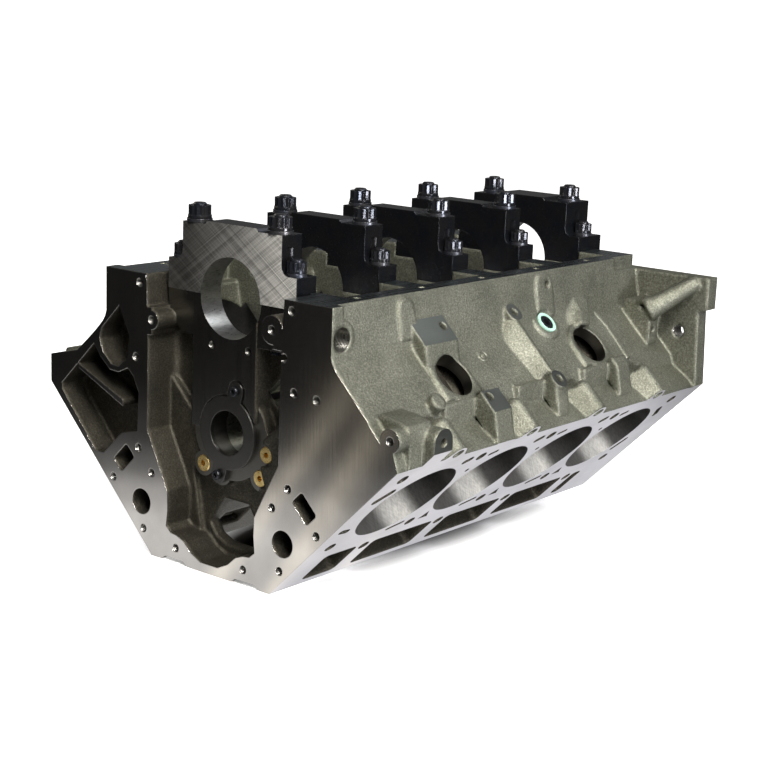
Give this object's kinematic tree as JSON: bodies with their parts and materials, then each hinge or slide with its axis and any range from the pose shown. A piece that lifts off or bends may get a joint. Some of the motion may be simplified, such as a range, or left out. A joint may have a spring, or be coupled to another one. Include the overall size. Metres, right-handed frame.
{
  "type": "engine block",
  "caption": "Bare cast-iron V engine block lying on its deck edges, main bearing caps studded in place, with open cylinders, cam tunnel and bell-housing flange.",
  "frame": {"origin": "the crankshaft axis where it crosses the plane of the timing face", "axes": "+Y rearwards along the crankshaft axis to the bell-housing face; +Z from the decks up to the crankcase, as the block stands here, upside down; +X to the right seen from the timing end"},
  "size_m": [0.46, 0.5136, 0.3367],
  "materials": {
    "cast_block": "as cast, with machined faces and honed bores",
    "caps": "black oxide on machined steel",
    "fasteners": "black oxide",
    "retainer": "ground, dark",
    "plug_brass": "turned",
    "bearings": "soft metal lined",
    "seal": "matt"
  },
  "bodies": {
    "root": {"cam_bearing_1": "bearings", "cam_bearing_2": "bearings", "cam_bearing_3": "bearings", "cam_bearing_4": "bearings", "cam_bearing_5": "bearings", "cam_retainer_plate": "retainer", "engine_block": "cast_block", "gallery_plug_left": "plug_brass", "gallery_plug_lower": "plug_brass", "gallery_plug_upper": "plug_brass", "inner_main_studs": "fasteners", "inner_stud_nuts": "fasteners", "inner_stud_washers": "fasteners", "main_cap_1": "caps", "main_cap_2": "caps", "main_cap_3": "caps", "main_cap_4": "caps", "main_cap_5": "caps", "outer_main_studs": "fasteners", "outer_stud_nuts": "fasteners", "outer_stud_washers": "fasteners", "retainer_screws": "fasteners", "side_plug": "fasteners", "side_plug_seal": "seal"}
  },
  "joints": []
}
